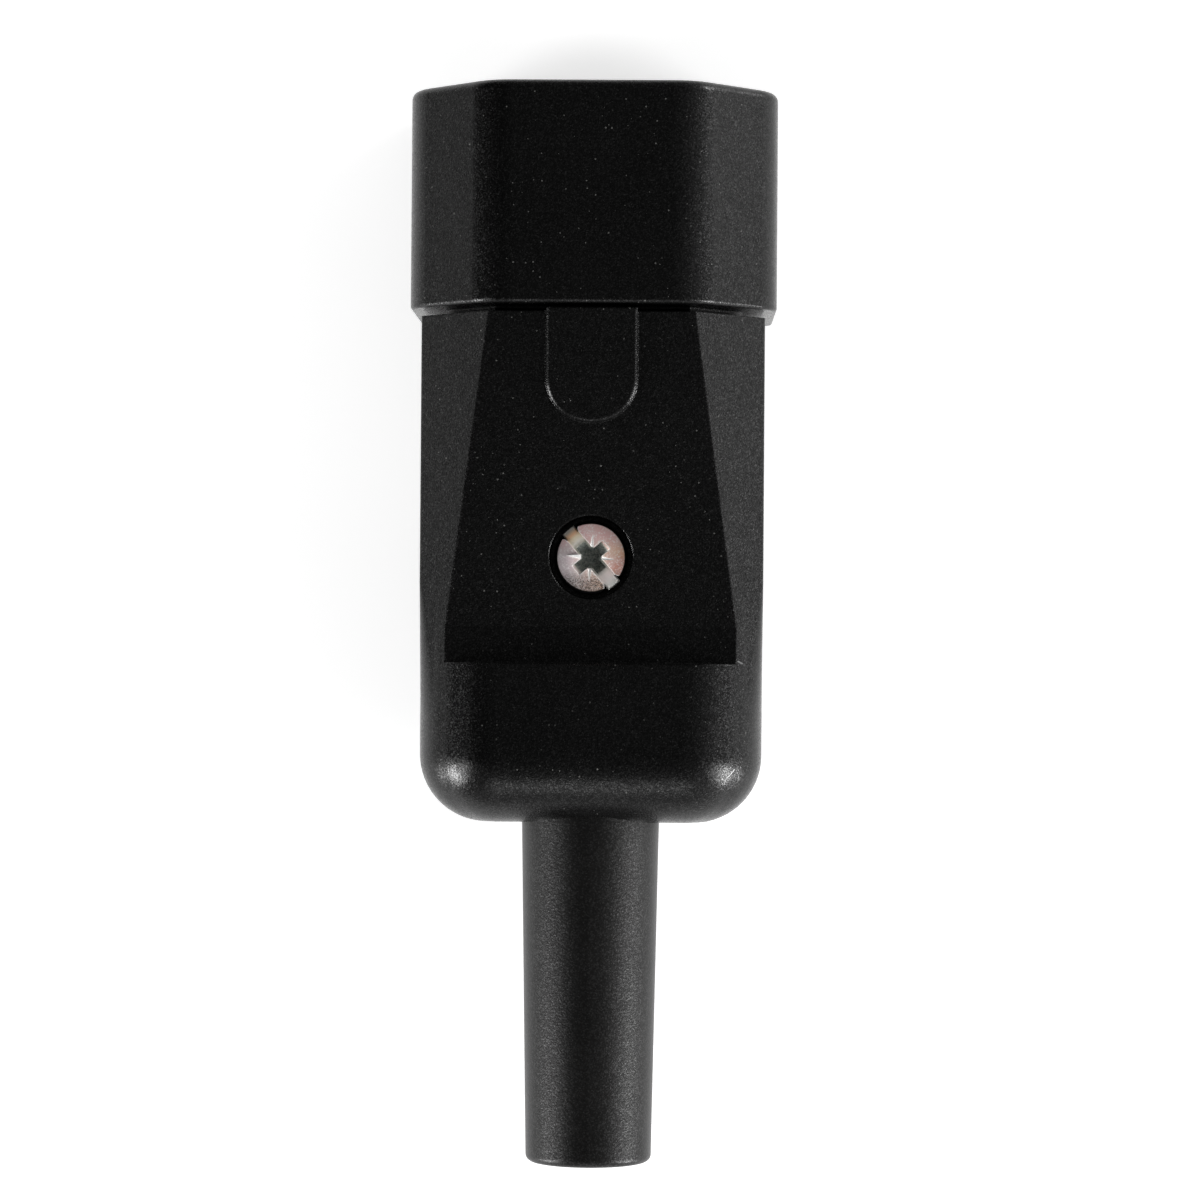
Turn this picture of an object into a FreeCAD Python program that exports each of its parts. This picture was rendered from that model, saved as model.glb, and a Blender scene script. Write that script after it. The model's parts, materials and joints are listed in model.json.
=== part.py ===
import FreeCAD, Part
import math
import os
from types import SimpleNamespace

import Sketcher

# Rewireable inline power plug with three flat pins, lying on its back.
# Frame: +Y is the way the plug is pushed into a connector, +Z is the side of the cover screw.
# Every sub-part is drawn with the hood's rim at Y = 0 and the hood's underside at Z = 0, and "back"
# is the distance behind the rim. Its placement then moves the middle of the plug's length to Y = 0.

# Driving dimensions in millimetres: name, number, what it measures.
DIMENSIONS = [
    ("hood_width", 30.2, "hood across its side walls"),
    ("hood_height", 22.0, "hood from underside to top flat"),
    ("hood_length", 18.0, "hood from rim to rear edge"),
    ("hood_chamfer", 6.7, "leg of the hood's two upper chamfers"),
    ("hood_wall", 2.7, "wall of the hood all round"),
    ("hood_blend", 4.5, "radius between the hood's chamfers and its flats"),
    ("hood_corner", 0.6, "radius of the hood's lower corners"),
    ("cavity_depth", 16.5, "depth of the space that takes the connector"),
    ("cavity_corner", 1.0, "radius of the corners of that space"),
    ("mouth_lead", 0.4, "bevel round the mouth of that space"),
    ("rim_round", 0.7, "rounding of the hood's outer rim"),
    ("front_gap", 0.6, "gap between the hood and the shells"),
    ("lip_round", 0.3, "rounding of the hood's rear edge"),
    ("slack", 0.1, "play between mouldings that slide together"),
    ("overlap", 1.0, "how far a feature reaches into or past what it meets"),
    ("body_inset", 1.0, "step from the hood down to the body"),
    ("body_chamfer", 5.84, "leg of the body's upper chamfers at the hood"),
    ("body_length", 42.1, "body from the hood to its rear end"),
    ("body_blend", 5.8, "radius along the body's long edges"),
    ("crisp_round", 0.4, "radius of the facets' lower edges along the thumb flat"),
    ("crisp_length", 22.4, "those edges, from the hood to where they begin to fade"),
    ("crisp_fade", 12.5, "length over which they pass into the rounder edges behind"),
    ("rear_round", 5.55, "radius round the body's rear end"),
    ("shell_wall", 1.8, "wall of the two shells"),
    ("parting_height", 10.5, "height of the joint between the shells and of the cable axis"),
    ("grip_drop", 3.6, "how far the thumb flat sinks below the body's top"),
    ("grip_run", 26.1, "length over which it sinks"),
    ("under_drop", 2.4, "how far the finger flat rises above the body's underside"),
    ("shoulder_length", 13.1, "shoulder from its step to the rear end"),
    ("shoulder_drop", 1.74, "shoulder's top below the body's top"),
    ("step_bevel", 0.25, "bevel of the step's upper edge"),
    ("key_width", 7.4, "raised key behind the hood, across"),
    ("key_length", 9.5, "raised key, from the hood to its round end"),
    ("key_gap", 0.35, "gap between the hood and the raised key"),
    ("key_rise", 0.5, "raised key above the thumb flat"),
    ("key_round", 3.5, "radius of the key's two end corners"),
    ("key_edge", 0.28, "rounding of the key's upper edge"),
    ("rib_depth", 0.9, "locking rib of the shells, reach into the carrier"),
    ("rib_width", 1.0, "locking rib of the shells, along the plug"),
    ("floor_back", 21.0, "rear face of the wall that holds the pins"),
    ("shelf_back", 29.2, "rear end of the terminal shelf"),
    ("barrier", 0.7, "walls between the terminals"),
    ("pin_pitch", 14.0, "line pin to neutral pin"),
    ("pin_offset", 4.0, "earth pin above the other two"),
    ("pin_width", 2.0, "pin across"),
    ("pin_height", 4.0, "pin, height of its flat"),
    ("pin_lead", 0.6, "lead-in at a pin's tip"),
    ("line_recess", 3.0, "line and neutral tips behind the rim"),
    ("earth_recess", 1.5, "earth tip behind the rim"),
    ("terminal_side", 6.0, "terminal block, across and high"),
    ("terminal_length", 8.0, "terminal block, along the plug"),
    ("wire_hole", 3.0, "wire hole of a terminal"),
    ("wire_depth", 6.6, "depth of that hole"),
    ("wire_offset", 0.6, "that hole below the middle of its terminal"),
    ("thread", 2.9, "thread of every screw, over its crests"),
    ("tapped", 3.0, "hole that such a thread turns in"),
    ("guard_leaf", 0.3, "wire guard, thickness"),
    ("guard_width", 2.58, "wire guard, across"),
    ("small_head", 5.0, "head of the terminal and clamp screws, across"),
    ("small_head_height", 1.5, "head of the terminal and clamp screws, height"),
    ("terminal_screw_length", 3.0, "terminal screw under its head"),
    ("clamp_screw_length", 8.0, "clamp screw under its head"),
    ("cover_screw_back", 20.4, "cover screw behind the hood"),
    ("cover_head", 6.0, "cover screw's head across"),
    ("cover_head_height", 2.4, "cover screw's head height"),
    ("cover_head_round", 0.5, "rounding of the cover screw's head"),
    ("cover_screw_length", 12.0, "cover screw under its head"),
    ("slot_width", 0.9, "slot of the terminal and clamp screws"),
    ("slot_depth", 1.0, "depth of every slot"),
    ("cover_slot_width", 1.2, "slot of the cover screw"),
    ("cross_reach", 3.35, "cross recess of the cover screw, tip to tip"),
    ("cross_width", 0.97, "arm of the cross recess"),
    ("cross_depth", 1.6, "depth of the cross recess"),
    ("tick_reach", 3.9, "fine ticks between the arms, tip to tip"),
    ("tick_width", 0.2, "fine tick, across"),
    ("tick_depth", 0.12, "fine tick, depth"),
    ("slot_angle", 130.5, "turn of the cover screw's slot, degrees"),
    ("counterbore", 6.8, "counterbore for the cover screw's head"),
    ("counterbore_depth", 2.7, "its depth below the thumb flat"),
    ("screw_clearance", 3.4, "clearance hole of the cover screw"),
    ("pillar", 9.6, "pillars round the cover screw"),
    ("nut_flats", 5.5, "nut across its flats"),
    ("nut_height", 2.4, "nut height"),
    ("nut_seat", 6.2, "height of the face that the nut pulls against"),
    ("clamp_back", 51.5, "middle of the cord clamp"),
    ("clamp_width", 6.0, "cord clamp along the plug"),
    ("clamp_span", 21.0, "cord clamp across"),
    ("clamp_height", 2.2, "cord clamp thickness"),
    ("clamp_pitch", 16.0, "clamp screw to clamp screw"),
    ("post", 5.2, "posts of the clamp screws"),
    ("post_top", 12.0, "height of those posts"),
    ("cord_channel", 7.4, "channel for the cord"),
    ("saddle_width", 2.4, "rib under the cord, along the plug"),
    ("collar_front", 55.0, "front of the blocks that hold the boot"),
    ("collar_rear", 57.2, "rear of the wider ones"),
    ("collar_width", 19.0, "the wider ones across"),
    ("flange", 13.4, "flange of the boot across"),
    ("flange_back", 56.3, "front of the boot's flange"),
    ("flange_width", 1.4, "flange of the boot along the plug"),
    ("boot_front", 55.2, "front end of the boot, inside the shells"),
    ("boot_root", 11.4, "boot across, at the body"),
    ("boot_tip", 10.4, "boot across, at its end"),
    ("boot_length", 28.2, "boot behind the body"),
    ("boot_bore", 8.0, "bore of the boot"),
    ("boot_round", 0.6, "rounding of the boot's end"),
]

document = FreeCAD.newDocument("plug")
sheet = document.addObject("Spreadsheet::Sheet", "sizes")
for row, (name, number, meaning) in enumerate(DIMENSIONS, start=1):
    sheet.set(f"A{row}", meaning)
    sheet.set(f"B{row}", str(number))
    sheet.setAlias(f"B{row}", name)
document.recompute()


class Size:
    """A number together with the expression that ties it to the sheet."""

    def __init__(self, value, text):
        self.value = value
        self.text = text

    def joined(self, sign, other):
        other = as_size(other)
        results = {
            "+": self.value + other.value,
            "-": self.value - other.value,
            "*": self.value * other.value,
        }
        return Size(results[sign], f"({self.text} {sign} {other.text})")

    def __add__(self, other):
        return self.joined("+", other)

    def __radd__(self, other):
        return as_size(other) + self

    def __sub__(self, other):
        return self.joined("-", other)

    def __rsub__(self, other):
        return as_size(other) - self

    def __mul__(self, other):
        return self.joined("*", other)

    def __rmul__(self, other):
        return self * other

    def __neg__(self):
        return Size(-self.value, f"(-1 * {self.text})")

    def __truediv__(self, other):
        other = as_size(other)
        return Size(self.value / other.value, f"({self.text} / {other.text})")


def as_size(number):
    return number if isinstance(number, Size) else Size(number, repr(number))


names = [name for name, number, meaning in DIMENSIONS]
d = SimpleNamespace(**{name: Size(sheet.get(name), f"sizes.{name}") for name in names})

# Sizes that follow from the driving ones.
ROOT_TWO = math.sqrt(2.0)
overall_length = d.hood_length + d.body_length + d.boot_length
body_half = d.hood_width / 2 - d.body_inset
body_low = d.body_inset
body_top = d.hood_height - d.body_inset
body_front = d.hood_length + d.front_gap
body_rear = d.hood_length + d.body_length
step_back = body_rear - d.shoulder_length
shoulder_top = body_top - d.shoulder_drop
grip_slope = d.grip_drop / d.grip_run
under_slope = d.under_drop / d.grip_run
carrier_run = d.floor_back - d.hood_length
rib_front = body_front + d.shell_wall / 3
screw_back = d.hood_length + d.cover_screw_back
head_seat = body_top - grip_slope * d.cover_screw_back - d.counterbore_depth
pin_middle = d.hood_height / 2
carrier_inset = d.shell_wall + d.slack

FINE = 1e-4


def new_body(label):
    """An empty sub-part whose placement puts the middle of the plug's length at Y = 0."""
    body = document.addObject("PartDesign::Body", label)
    body.Label = label
    body.setExpression("Placement.Base.y", (overall_length / 2).text)
    return body


def new_sketch(body, plane, height):
    """A sketch on one of the body's planes, moved along that plane's normal (XZ: backwards)."""
    sketch = body.newObject("Sketcher::SketchObject", "sketch")
    support = next(feature for feature in body.Origin.OriginFeatures if feature.Role == plane)
    sketch.AttachmentSupport = [(support, "")]
    sketch.MapMode = "FlatFace"
    sketch.setExpression("AttachmentOffset.Base.z", as_size(height).text)
    return sketch


def hold_point(sketch, edge, end, across, up):
    """Ties one point of a sketch to the sketch's origin with two dimensions."""
    for kind, distance in (("DistanceX", as_size(across)), ("DistanceY", as_size(up))):
        number = sketch.addConstraint(Sketcher.Constraint(kind, -1, 1, edge, end, distance.value))
        sketch.setExpression(f"Constraints[{number}]", distance.text)


def arc_between(start, end, radius):
    """An arc that turns left on its way from one point to another."""
    chord = end - start
    height = math.sqrt(radius ** 2 - (chord.Length / 2) ** 2)
    centre = (start + end) / 2 + FreeCAD.Vector(-chord.y, chord.x, 0).normalize() * height
    angles = [math.atan2(point.y - centre.y, point.x - centre.x) for point in (start, end)]
    circle = Part.Circle(centre, FreeCAD.Vector(0, 0, 1), radius)
    return Part.ArcOfCircle(circle, *angles)


def draw_outline(sketch, corners, arc_edge=None, radius=None):
    """A closed outline of straight edges, one of which may be an arc instead."""
    first = sketch.GeometryCount
    points = [FreeCAD.Vector(as_size(x).value, as_size(y).value, 0) for x, y in corners]
    for index, point in enumerate(points):
        following = points[(index + 1) % len(points)]
        if index == arc_edge:
            sketch.addGeometry(arc_between(point, following, radius.value))
        else:
            sketch.addGeometry(Part.LineSegment(point, following))
    for index, (x, y) in enumerate(corners):
        following = first + (index + 1) % len(corners)
        sketch.addConstraint(Sketcher.Constraint("Coincident", first + index, 2, following, 1))
        hold_point(sketch, first + index, 1, x, y)
    if radius:
        number = sketch.addConstraint(Sketcher.Constraint("Radius", first + arc_edge, radius.value))
        sketch.setExpression(f"Constraints[{number}]", radius.text)


def draw_box(sketch, left, low, right, high):
    draw_outline(sketch, [(left, low), (right, low), (right, high), (left, high)])


def draw_circle(sketch, x, y, diameter):
    centre = FreeCAD.Vector(as_size(x).value, as_size(y).value, 0)
    circle = sketch.addGeometry(Part.Circle(centre, FreeCAD.Vector(0, 0, 1), diameter.value / 2))
    number = sketch.addConstraint(Sketcher.Constraint("Diameter", circle, diameter.value))
    sketch.setExpression(f"Constraints[{number}]", diameter.text)
    hold_point(sketch, circle, 3, x, y)


def settle(body, feature):
    """Makes a new feature the end of its body and stops if it failed."""
    body.Tip = feature
    document.recompute()
    if not feature.isValid():
        raise ValueError(f"{body.Label}: {feature.Name} failed, {feature.getStatusString()}")
    return feature


def extrude(sketch, kind, length, backwards, centred):
    """Pads or pockets a sketch and makes sure that it adds or takes material."""
    body = sketch.getParentGeoFeatureGroup()
    before = body.Shape.Volume if body.Tip else 0.0
    feature = body.newObject(f"PartDesign::{kind}", kind.lower())
    feature.Profile = sketch
    feature.setExpression("Length", as_size(length).text)
    feature.Reversed = backwards
    feature.Midplane = centred
    settle(body, feature)
    change = feature.Shape.Volume - before
    if change * (1 if kind == "Pad" else -1) <= FINE:
        raise ValueError(f"{body.Label}: {feature.Name} changes nothing")
    return feature


def pad(sketch, length, backwards=False, centred=False):
    return extrude(sketch, "Pad", length, backwards, centred)


def pocket(sketch, length, backwards=False, centred=False):
    return extrude(sketch, "Pocket", length, backwards, centred)


def pick_edges(shape, wanted):
    return [f"Edge{number}" for number, edge in enumerate(shape.Edges, start=1) if wanted(edge.BoundBox)]


def dress(body, kind, size_name, size, wanted):
    """Rounds or bevels the edges whose bounds are wanted."""
    base = body.Tip
    feature = body.newObject(f"PartDesign::{kind}", kind.lower())
    feature.Base = (base, pick_edges(base.Shape, wanted))
    feature.setExpression(size_name, as_size(size).text)
    return settle(body, feature)


def fillet(body, radius, wanted):
    return dress(body, "Fillet", "Radius", radius, wanted)


def chamfer(body, size, wanted):
    return dress(body, "Chamfer", "Size", size, wanted)


def revolve(sketch, axis):
    """Turns a sketch once round an axis of the sketch: H_Axis or V_Axis."""
    body = sketch.getParentGeoFeatureGroup()
    feature = body.newObject("PartDesign::Revolution", "revolution")
    feature.Profile = sketch
    feature.ReferenceAxis = (sketch, [axis])
    feature.Angle = 360.0
    return settle(body, feature)


def loft(front, rear):
    """Adds the solid that runs straight from one sketch to another."""
    body = front.getParentGeoFeatureGroup()
    feature = body.newObject("PartDesign::AdditiveLoft", "loft")
    feature.Profile = front
    feature.Sections = [rear]
    feature.Ruled = True
    return settle(body, feature)


def close_to(number, size):
    return abs(number - as_size(size).value) < FINE * 10


def runs_along_y(bounds):
    return bounds.XLength < FINE and bounds.ZLength < FINE and bounds.YLength > FINE


def lies_back(bounds, back):
    """Whether an edge lies in the plane at this distance behind the rim."""
    return close_to(bounds.YMin, -back) and close_to(bounds.YMax, -back)


def lies_between(bounds, front, rear):
    """Whether an edge runs from one distance behind the rim to another."""
    return close_to(bounds.YMax, -front) and close_to(bounds.YMin, -rear)


def lies_at(bounds, height):
    return close_to(bounds.ZMin, height) and close_to(bounds.ZMax, height)


def chamfered_section(half, low, high, leg):
    """Outline across the plug: two chamfered corners on top, square corners below."""
    right = [(half, low), (half, high - leg), (half - leg, high)]
    left = [(-x, y) for x, y in reversed(right)]
    return right + left


def inset_section(low, drop, inset):
    """The body's outline moved inwards by an inset, with its top lowered by a drop as well."""
    inset = as_size(inset)
    half = body_half - inset
    high = body_top - drop - inset
    facet = body_half + body_top - d.body_chamfer - inset * ROOT_TWO
    return chamfered_section(half, low, high, half + high - facet)


def carrier_section(depth):
    """Outline of the carrier that the shells close round, sunk by a depth in its groove."""
    low = body_low + under_slope * carrier_run + carrier_inset
    return inset_section(low + depth, grip_slope * carrier_run, carrier_inset + depth)


def make_shroud():
    """Hood round the pins, in one moulding with the pin wall, its carrier and the terminal shelf."""
    body = new_body("shroud")
    half = d.hood_width / 2
    sketch = new_sketch(body, "XZ_Plane", 0)
    draw_outline(sketch, chamfered_section(half, 0, d.hood_height, d.hood_chamfer))
    pad(sketch, d.hood_length)
    chamfer_foot = d.hood_height - d.hood_chamfer
    fillet(body, d.hood_blend, lambda b: runs_along_y(b) and b.ZMin > chamfer_foot.value - FINE)
    fillet(body, d.hood_corner, lambda b: runs_along_y(b) and close_to(b.ZMax, 0))
    fillet(body, d.rim_round, lambda b: lies_back(b, 0))
    fillet(body, d.lip_round, lambda b: lies_back(b, d.hood_length))

    # Space that takes the connector.
    sketch = new_sketch(body, "XZ_Plane", 0)
    inner_leg = d.hood_chamfer - d.hood_wall * (2 - ROOT_TWO)
    inner_half = half - d.hood_wall
    draw_outline(sketch, chamfered_section(inner_half, d.hood_wall, d.hood_height - d.hood_wall, inner_leg))
    pocket(sketch, d.cavity_depth, backwards=True)
    fillet(body, d.cavity_corner, lambda b: runs_along_y(b) and close_to(b.YLength, d.cavity_depth)
           and abs(b.XMin) < inner_half.value + FINE)
    inner_top = d.hood_height - d.hood_wall
    chamfer(body, d.mouth_lead, lambda b: lies_back(b, 0) and b.ZMax < inner_top.value + FINE
            and b.ZMin > d.hood_wall.value - FINE and max(-b.XMin, b.XMax) < inner_half.value + FINE)

    # Carrier inside the shells, with a groove for their locking ribs.
    rib_rear = rib_front + d.rib_width
    stages = [
        (d.hood_length, rib_front - d.slack, 0),
        (rib_front - d.slack, rib_rear + d.slack, d.rib_depth),
        (rib_rear + d.slack, d.floor_back, 0),
    ]
    for front, rear, depth in stages:
        sketch = new_sketch(body, "XZ_Plane", front)
        draw_outline(sketch, carrier_section(depth))
        pad(sketch, rear - front)
    groove_first = [stages[1], stages[0], stages[2]]
    for front, rear, depth in groove_first:
        corner_heights = [z.value for x, z in carrier_section(depth)[:2]]
        corner_round = d.body_blend - carrier_inset - depth
        fillet(body, corner_round, lambda b: runs_along_y(b) and lies_between(b, front, rear)
               and min(abs(b.ZMin - height) for height in corner_heights) < FINE)

    # Slots of the three pins.
    sketch = new_sketch(body, "XZ_Plane", 0)
    for name, x, z, recess in PINS:
        reach_x = d.pin_width / 2 + d.slack / 2
        reach_z = d.pin_height / 2 + d.slack / 2
        draw_box(sketch, x - reach_x, z - reach_z, x + reach_x, z + reach_z)
    pocket(sketch, d.floor_back + d.overlap, backwards=True)

    # Terminal shelf, barriers between the terminals and the raised seat of the earth terminal.
    reach = d.terminal_side / 2
    line_seat = pin_middle - d.pin_offset / 2 - reach - d.slack / 2
    earth_seat = pin_middle + d.pin_offset / 2 - reach - d.slack / 2
    gap = (d.pin_pitch / 2 - d.terminal_side - d.barrier) / 2
    inside = reach + gap
    outside = inside + d.barrier
    shelf_half = d.pin_pitch / 2 + reach
    shelf_length = d.shelf_back - d.floor_back
    sketch = new_sketch(body, "XZ_Plane", d.floor_back)
    shelf_low = body_low + under_slope * (d.shelf_back - d.hood_length) + carrier_inset
    draw_box(sketch, -shelf_half, shelf_low, shelf_half, line_seat)
    pad(sketch, shelf_length)
    sketch = new_sketch(body, "XZ_Plane", d.floor_back)
    for side in (-1, 1):
        draw_box(sketch, outside * min(side, 0) + inside * max(side, 0), line_seat - d.overlap,
                 inside * min(side, 0) + outside * max(side, 0), pin_middle + d.terminal_side / 2)
    pad(sketch, shelf_length)
    sketch = new_sketch(body, "XZ_Plane", d.floor_back)
    draw_box(sketch, -inside - d.barrier / 2, earth_seat - d.overlap, inside + d.barrier / 2, earth_seat)
    pad(sketch, shelf_length)
    return body


def make_pin(name, x, z, recess):
    """A flat pin in one piece with its pillar terminal."""
    body = new_body(f"{name}_pin")
    sketch = new_sketch(body, "XZ_Plane", recess)
    draw_box(sketch, x - d.pin_width / 2, z - d.pin_height / 2, x + d.pin_width / 2, z + d.pin_height / 2)
    pad(sketch, d.floor_back - recess + d.overlap)
    chamfer(body, d.pin_lead, lambda b: lies_back(b, recess))
    sketch = new_sketch(body, "XZ_Plane", d.floor_back + d.slack / 2)
    reach = d.terminal_side / 2
    draw_box(sketch, x - reach, z - reach, x + reach, z + reach)
    pad(sketch, d.terminal_length)
    terminal_rear = d.floor_back + d.slack / 2 + d.terminal_length
    sketch = new_sketch(body, "XZ_Plane", terminal_rear)
    draw_circle(sketch, x, wire_height(z), d.wire_hole)
    pocket(sketch, d.wire_depth)
    sketch = new_sketch(body, "XY_Plane", z + reach)
    draw_circle(sketch, x, -terminal_middle, d.tapped)
    pocket(sketch, z + reach - wire_height(z))
    return body


def wire_height(z):
    """Height of the wire hole in the terminal of a pin at this height."""
    return z - d.wire_offset


def make_wire_guard(name, x, z):
    """A thin leaf that lies over the wire, with its front end bent down."""
    body = new_body(f"{name}_wire_guard")
    roof = wire_height(z) + d.wire_hole / 4
    front = terminal_middle - d.terminal_length / 4
    rear = terminal_middle + d.terminal_length / 4
    foot = roof - d.wire_hole / 2
    sketch = new_sketch(body, "YZ_Plane", x)
    draw_outline(sketch, [
        (-rear, roof), (-front, roof), (-front, foot), (-front - d.guard_leaf, foot),
        (-front - d.guard_leaf, roof - d.guard_leaf), (-rear, roof - d.guard_leaf),
    ])
    pad(sketch, d.guard_width, centred=True)
    return body


def make_small_screw(label, x, back, seat, length):
    """Cheese head screw with a straight slot: terminal screws and clamp screws."""
    body = new_body(label)
    sketch = new_sketch(body, "XY_Plane", seat)
    draw_circle(sketch, x, -back, d.small_head)
    pad(sketch, d.small_head_height)
    fillet(body, d.small_head_height / 5, lambda b: lies_at(b, seat + d.small_head_height))
    sketch = new_sketch(body, "XY_Plane", seat)
    draw_circle(sketch, x, -back, d.thread)
    pad(sketch, length, backwards=True)
    chamfer(body, d.thread / 10, lambda b: lies_at(b, seat - length))
    sketch = new_sketch(body, "XY_Plane", seat + d.small_head_height)
    draw_box(sketch, x - d.small_head, -back - d.slot_width / 2, x + d.small_head, -back + d.slot_width / 2)
    pocket(sketch, d.slot_depth)
    return body


def shell_outside(label, upper):
    """Outside of one half of the body, open towards the parting plane, before anything is added."""
    body = new_body(label)
    length = body_rear - body_front
    sketch = new_sketch(body, "XZ_Plane", body_front)
    if upper:
        draw_outline(sketch, chamfered_section(body_half, d.parting_height, body_top, d.body_chamfer))
    else:
        draw_box(sketch, -body_half, body_low, body_half, d.parting_height)
    pad(sketch, length)
    if upper:
        facet_foot = body_top - d.body_chamfer
        sink_grip(body, body_top, -1, d.grip_drop, d.shoulder_drop)
        fillet(body, d.body_blend, lambda b: runs_along_y(b) and close_to(b.ZMin, facet_foot))
        fillet(body, d.body_blend, lambda b: runs_along_y(b) and close_to(b.ZMin, shoulder_top))
    else:
        fillet(body, d.body_blend, lambda b: runs_along_y(b) and close_to(b.ZMin, body_low))
    parting = d.parting_height.value
    fillet(body, d.rear_round, lambda b: lies_back(b, body_rear)
           and not lies_at(b, d.parting_height) and abs(b.ZMax - parting) + abs(b.ZMin - parting) > FINE)
    if not upper:
        sink_grip(body, body_low, 1, d.under_drop, 0)
    return body


def sink_grip(body, level, inwards, drop, shoulder_drop):
    """Cuts the flat that sinks from the hood to the shoulder's step, and the shoulder's own level."""
    outside = level - d.overlap * inwards
    deep = level + drop * inwards
    sketch = new_sketch(body, "YZ_Plane", 0)
    corners = [(-d.hood_length, outside), (-d.hood_length, level), (-d.hood_length - d.grip_run, deep),
               (-step_back, deep)]
    if shoulder_drop:
        shoulder = level + shoulder_drop * inwards
        rear = body_rear + d.overlap
        corners += [(-step_back, shoulder), (-rear, shoulder), (-rear, outside)]
    else:
        corners += [(-step_back, outside)]
    draw_outline(sketch, corners)
    pocket(sketch, d.hood_width, centred=True)


def hollow(body):
    """Leaves a wall of even thickness, open at the parting plane and at the front."""
    base = body.Tip
    faces = []
    for number, face in enumerate(base.Shape.Faces, start=1):
        bounds = face.BoundBox
        if lies_at(bounds, d.parting_height) or lies_back(bounds, body_front):
            faces.append(f"Face{number}")
    shell = body.newObject("PartDesign::Thickness", "thickness")
    shell.Base = (base, faces)
    shell.setExpression("Value", d.shell_wall.text)
    shell.Reversed = True
    shell.Join = "Intersection"
    return settle(body, shell)


def add_locking_rib(body, upper):
    """Rib that runs round inside the front of a shell and drops into the carrier's groove."""
    anchor = d.shell_wall / 2
    depth = carrier_inset + d.rib_depth - d.slack
    if upper:
        outer = inset_section(d.parting_height, grip_slope * carrier_run, anchor)
        inner = inset_section(d.parting_height, grip_slope * carrier_run, depth)
    else:
        outer = under_section(anchor, d.body_blend / 2)
        inner = under_section(depth, d.body_blend / 4)
    sketch = new_sketch(body, "XZ_Plane", rib_front)
    draw_outline(sketch, outer + inner[::-1])
    pad(sketch, d.rib_width)


def under_section(inset, cut):
    """Outline of the lower half moved inwards, from the parting plane round the underside's cut corners."""
    half = body_half - inset
    low = body_low + under_slope * carrier_run + inset
    right = [(half, d.parting_height), (half, low + cut), (half - cut, low)]
    left = [(-x, y) for x, y in reversed(right)]
    return right + left


def add_collar(body, upper):
    """Blocks at the rear of a shell, bored for the boot and grooved for the boot's flange."""
    side = 1 if upper else -1
    level = shoulder_top if upper else body_low
    rear_wall = body_rear - d.shell_wall + 2 * d.slack
    blocks = [
        (d.collar_front, d.collar_rear, d.collar_width / 2, level - d.shell_wall / 2 * side),
        (d.collar_rear, rear_wall, d.flange / 2, d.parting_height + d.flange / 2 * side),
    ]
    for front, rear, reach, end in blocks:
        cut = reach / 3
        right = [(reach, d.parting_height), (reach, end - cut * side), (reach - cut, end)]
        left = [(-x, z) for x, z in reversed(right)]
        sketch = new_sketch(body, "XZ_Plane", front)
        draw_outline(sketch, right + left)
        pad(sketch, rear - front)
    sketch = new_sketch(body, "XZ_Plane", d.collar_front)
    draw_circle(sketch, 0, d.parting_height, d.boot_root + d.slack)
    pocket(sketch, body_rear - d.collar_front + d.overlap, backwards=True)
    sketch = new_sketch(body, "XZ_Plane", d.flange_back - d.slack / 2)
    draw_circle(sketch, 0, d.parting_height, d.flange + 2 * d.slack)
    pocket(sketch, d.flange_width + d.slack, backwards=True)


def draw_edge(sketch, side, radius, sink):
    """Section of the wall at a facet's lower edge with its own rounding, sunk below the wall's face."""
    half_turn = math.pi / 8
    corner_x = body_half - sink * math.cos(half_turn)
    corner_z = body_top - d.body_chamfer - sink * math.sin(half_turn)
    round_reach = radius * math.tan(half_turn)
    reach = d.body_blend * math.tan(half_turn) + 2 * d.slack
    depth = d.shell_wall / 2
    corners = [
        (corner_x, corner_z - reach),
        (corner_x, corner_z - round_reach),
        (corner_x - round_reach / ROOT_TWO, corner_z + round_reach / ROOT_TWO),
        (corner_x - reach / ROOT_TWO, corner_z + reach / ROOT_TWO),
        (corner_x - (reach + depth) / ROOT_TWO, corner_z + (reach - depth) / ROOT_TWO),
        (corner_x - depth, corner_z - reach),
    ]
    if side < 0:
        mirrored = [(-x, z) for x, z in corners]
        corners = mirrored[3::-1] + mirrored[:3:-1]
    draw_outline(sketch, corners, 1, radius)


def add_crisp_edges(body):
    """Facets' lower edges, crisp along the thumb flat and fading into the round ones behind it."""
    crisp_rear = d.hood_length + d.crisp_length
    for side in (1, -1):
        sketch = new_sketch(body, "XZ_Plane", body_front)
        draw_edge(sketch, side, d.crisp_round, 0)
        pad(sketch, crisp_rear - body_front)
        front = new_sketch(body, "XZ_Plane", crisp_rear)
        draw_edge(front, side, d.crisp_round, 0)
        rear = new_sketch(body, "XZ_Plane", crisp_rear + d.crisp_fade)
        draw_edge(rear, side, d.body_blend, d.slack / 2)
        loft(front, rear)


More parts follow.
